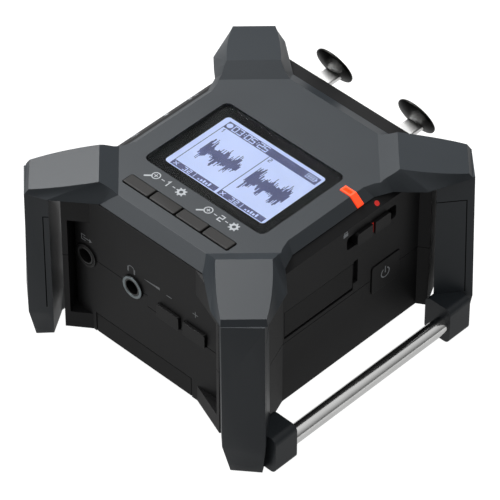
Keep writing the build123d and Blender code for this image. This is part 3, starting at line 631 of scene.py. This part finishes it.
def turned_ring(name, u, v, front, rings, material, count=64):
    """A lathe-turned ring: a closed profile of (radius, stand-out) carried round a circle."""
    rings = np.asarray(rings, float)
    t = np.linspace(0, 2 * np.pi, count, endpoint=False)
    r, out = np.meshgrid(rings[:, 0], t)[0], np.meshgrid(rings[:, 1], t)[0]
    p = np.stack([u + r * np.cos(t)[:, None], front - out, v + r * np.sin(t)[:, None]], axis=2)
    k = len(rings)
    i, j = np.meshgrid(np.arange(count), np.arange(k), indexing="ij")
    a, b = i * k + j, i * k + (j + 1) % k
    c, d = ((i + 1) % count) * k + (j + 1) % k, ((i + 1) % count) * k + j
    mesh = bpy.data.meshes.new(name)
    mesh.from_pydata((p.reshape(-1, 3) * mm).tolist(), [],
                     np.stack([a, b, c, d], axis=2).reshape(-1, 4).tolist())
    mesh.materials.append(material)
    mesh.polygons.foreach_set("use_smooth", np.ones(len(mesh.polygons), bool))
    piece = bpy.data.objects.new(name, mesh)
    bpy.context.scene.collection.objects.link(piece)
    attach(piece, "case")
    return piece


front_face = -31.25
ring_profile = [(2.05, 0.2), (2.12, 0.5), (2.4, 0.62), (2.72, 0.58), (2.86, 0.46), (2.88, 0.1)]
phones_u, line_out_u, jacks_v = -5.6, -19.8, 26.3
turned_ring("phones_ring", phones_u, jacks_v, front_face, ring_profile, ring_plate)
line_ring = [(2.05, 0.2), (2.12, 0.46), (2.4, 0.5), (2.72, 0.48), (2.86, 0.4), (2.88, 0.1)]
turned_ring("line_out_ring", line_out_u, jacks_v, front_face, line_ring, key_abs)


def on_front(out):
    """Places a drawing on the front face: u runs right, v up."""
    return lambda p: np.column_stack([p[:, 0], front_face - out - p[:, 2], p[:, 1]]) * mm


# headphone, wedge with minus and plus, and a socket with an arrow out of it
arc = np.linspace(0.1 * np.pi, 0.9 * np.pi, 12)
front_marks = lines(np.column_stack([-6.1 + 0.95 * np.cos(arc), 30.9 + 0.95 * np.sin(arc)]), 0.2)
front_marks += lines([(-7.05, 31.1), (-7.05, 30.2)], 0.42)
front_marks += lines([(-5.15, 31.1), (-5.15, 30.2)], 0.42)
front_marks += [[(-2.3, 30.65), (2.5, 30.45), (2.5, 31.15)]]
front_marks += lines([(4.6, 30.4), (6.0, 30.4)], 0.2)
front_marks += lines([(12.4, 30.4), (13.8, 30.4)], 0.2)
front_marks += lines([(13.1, 29.7), (13.1, 31.1)], 0.2)
front_marks += lines([(-21.3, 30.2), (-21.3, 31.6), (-20.2, 31.6)], 0.2)
front_marks += lines([(-21.3, 30.2), (-20.2, 30.2)], 0.2)
front_marks += lines([(-20.8, 30.9), (-18.7, 30.9)], 0.2)
front_marks += [[(-18.9, 30.4), (-18.9, 31.4), (-18.1, 30.9)]]
flat_plate("front_marks", front_marks, on_front(0.0), moulding(
    "grey_ink", (0.2, 0.21, 0.22), 0.5, shade=0.25))

# ---------------------------------------------------------------- back
# Input panel with two nickelled shells, black inserts and gilt contacts. Each
# latch button is a dark plated thumb disc, riveted to a bright flat arm.
finish_in(cover_abs, "input_panel")
shell_nickel = plating("shell_nickel", (0.42, 0.42, 0.41), 0.24, streaks=(2500.0, 2500.0, 2500.0))
finish_in(shell_nickel, "xlr_shell_left", "xlr_shell_right")
finish_in(socket_nylon, "xlr_insert_left", "xlr_insert_right")
finish_in(bush_brass, "xlr_contacts_left", "xlr_contacts_right")
disc_plate = plating("disc_plate", (0.018, 0.018, 0.017), 0.4, streaks=(3000.0, 3000.0, 3000.0))
arm_plate = plating("arm_plate", (0.9, 0.9, 0.89), 0.38, streaks=(600.0, 6000.0, 6000.0))


def latch_button(side_name, across):
    """Thumb disc and its arm.

    The disc is a lathe-turned closed profile of (radius, stand-off) carried round an
    axis that leans back 20 degrees. The arm is a round-cornered flat section carried
    along a straight line, with its ends closed.
    """
    node = "latch_button_" + side_name
    lean = math.radians(20)
    disc_y, disc_z, disc_r = 37.99, 41.8, 5.0
    hub_in, hub_out = -0.93, -0.13
    n = 72
    t = np.linspace(0, 2 * np.pi, n, endpoint=False)[:, None]
    s = np.linspace(0, 1, 15)
    inner = np.column_stack([disc_r * s, hub_in + 0.86 * s ** 2])
    outer = np.column_stack([disc_r * s[::-1], hub_out + 0.6 * s[::-1] ** 2])
    roll = np.linspace(-np.pi / 2, np.pi / 2, 7)[1:-1]
    edge = np.column_stack([disc_r + 0.1 * np.cos(roll), 0.2 + 0.26 * np.sin(roll)])
    profile = np.vstack([inner[1:], edge, outer[:-1]])
    k = len(profile)
    r, off = profile[:, 0], profile[:, 1]
    x, up = r * np.cos(t), r * np.sin(t)
    p = np.stack([across + x, disc_y + off * math.cos(lean) - up * math.sin(lean),
                  disc_z + off * math.sin(lean) + up * math.cos(lean)], axis=2).reshape(-1, 3)
    i, j = np.meshgrid(np.arange(n), np.arange(k - 1), indexing="ij")
    quads = np.stack([i * k + j, i * k + j + 1, (i + 1) % n * k + j + 1, (i + 1) % n * k + j],
                     axis=2).reshape(-1, 4).tolist()
    poles = np.array([[across, disc_y + hub * math.cos(lean), disc_z + hub * math.sin(lean)]
                      for hub in (hub_in, hub_out)])
    m = np.arange(n)
    caps = np.column_stack([np.full(n, n * k), m * k, (m + 1) % n * k]).tolist()
    caps += np.column_stack([np.full(n, n * k + 1), (m + 1) % n * k + k - 1,
                             m * k + k - 1]).tolist()
    disc = bpy.data.meshes.new("thumb_disc_" + side_name)
    disc.from_pydata((np.vstack([p, poles]) * mm).tolist(), [], quads + caps)
    disc.materials.append(disc_plate)
    disc.polygons.foreach_set("use_smooth", np.ones(len(disc.polygons), bool))
    arm_half, arm_foot, arm_top = 2.1, 39.1, 40.3
    section = round_box(-arm_half, arm_foot, arm_half, arm_top, 0.3)
    c = len(section)
    stations = np.array([28.0, 29.0, 37.2, 38.3])
    line = np.stack([np.stack([across + section[:, 0], np.full(c, y), section[:, 1]], axis=1)
                     for y in stations]).reshape(-1, 3)
    i, j = np.meshgrid(np.arange(len(stations) - 1), np.arange(c), indexing="ij")
    skin = np.stack([i * c + j, (i + 1) * c + j, (i + 1) * c + (j + 1) % c, i * c + (j + 1) % c],
                    axis=2).reshape(-1, 4).tolist()
    ends = [np.arange(c).tolist(), ((len(stations) - 1) * c + np.arange(c)[::-1]).tolist()]
    arm = bpy.data.meshes.new("latch_arm_" + side_name)
    arm.from_pydata((line * mm).tolist(), [], skin + ends)
    arm.materials.append(arm_plate)
    for mesh in (disc, arm):
        piece = bpy.data.objects.new(mesh.name, mesh)
        bpy.context.scene.collection.objects.link(piece)
        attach(piece, node)
        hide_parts(node)


latch_button("left", -12.25)
latch_button("right", 12.25)

# ---------------------------------------------------------------- battery bay
# Moulded door that slides in the floor, with a lip at the front, and two AA
# cells in printed shrink sleeves behind it.
finish_in(cover_abs, "battery_door")
soften(0.0002, "battery_door", segments=2, angle=30)
finish_in(moulding("cell_sleeve", (0.02, 0.06, 0.14), 0.25, cells=900.0), "battery_1", "battery_2")

# ---------------------------------------------------------------- room
# A pale floor that shows white, light mostly from above, and the camera at
# the front right corner, looking down.
bpy.ops.mesh.primitive_plane_add(size=8.0, location=(0, 0, -0.0002))
floor = bpy.context.object
floor.name = "floor"
pale = bpy.data.materials.new("pale_floor")
pale.use_nodes = True
sweep_skin = pale.node_tree.nodes["Principled BSDF"]
sweep_skin.inputs["Base Color"].default_value = (0.13, 0.13, 0.13, 1)
sweep_skin.inputs["Roughness"].default_value = 0.9
sweep_skin.inputs["Specular IOR Level"].default_value = 0.1
sweep_skin.inputs["Emission Color"].default_value = (1, 1, 1, 1)
# the floor's own light reaches the camera in full and gloss by half
seen = pale.node_tree.nodes.new("ShaderNodeLightPath")
share = pale.node_tree.nodes.new("ShaderNodeMath")
share.operation = "MULTIPLY_ADD"
share.inputs[1].default_value = 0.5
pale.node_tree.links.new(seen.outputs["Is Glossy Ray"], share.inputs[0])
pale.node_tree.links.new(seen.outputs["Is Camera Ray"], share.inputs[2])
pale.node_tree.links.new(share.outputs[0], sweep_skin.inputs["Emission Strength"])
floor.data.materials.append(pale)

world = bpy.data.worlds.new("studio")
world.use_nodes = True
world.node_tree.nodes["Background"].inputs["Color"].default_value = (1, 1, 1, 1)
# the sky is dim at the horizon and bright overhead
sky = world.node_tree.nodes
bearing, height, dome = (sky.new("ShaderNodeTexCoord"), sky.new("ShaderNodeSeparateXYZ"),
                         sky.new("ShaderNodeMapRange"))
dome.inputs["From Min"].default_value = 0.1
dome.inputs["From Max"].default_value = 0.9
dome.inputs["To Min"].default_value = 0.1
dome.inputs["To Max"].default_value = 0.72
world.node_tree.links.new(bearing.outputs["Generated"], height.inputs["Vector"])
world.node_tree.links.new(height.outputs["Z"], dome.inputs["Value"])
world.node_tree.links.new(dome.outputs["Result"], sky["Background"].inputs["Strength"])
bpy.context.scene.world = world


def soft_box(name, place, aim, size, power):
    """A square soft box that faces a point."""
    light = bpy.data.lights.new(name, "AREA")
    light.shape = "SQUARE"
    light.size = size
    light.energy = power
    lamp = bpy.data.objects.new(name, light)
    bpy.context.scene.collection.objects.link(lamp)
    lamp.location = place
    lamp.rotation_euler = (Vector(aim) - Vector(place)).to_track_quat("-Z", "Y").to_euler()


soft_box("top_light", (-0.55, 0.08, 0.83), (0, 0, 0.03), 0.4, 13.5)
soft_box("front_light", (-0.35, -1.0, 0.45), (0, 0, 0.02), 0.5, 1.4)

camera = bpy.data.cameras.new("camera")
camera.lens = 36.0 * 3802.53 / 500.0
camera.sensor_width = 36.0
camera.clip_start = 0.01
stand = bpy.data.objects.new("camera", camera)
bpy.context.scene.collection.objects.link(stand)
aim = Vector((0.002643, -0.003997, 0.024))
away, rise, distance = math.radians(44.154), math.radians(43.011), 0.8231
stand.location = aim + distance * Vector((math.sin(away) * math.cos(rise),
                                        -math.cos(away) * math.cos(rise), math.sin(rise)))
stand.rotation_euler = (aim - stand.location).to_track_quat("-Z", "Y").to_euler()
bpy.context.scene.camera = stand

bpy.context.scene.view_settings.view_transform = "Standard"
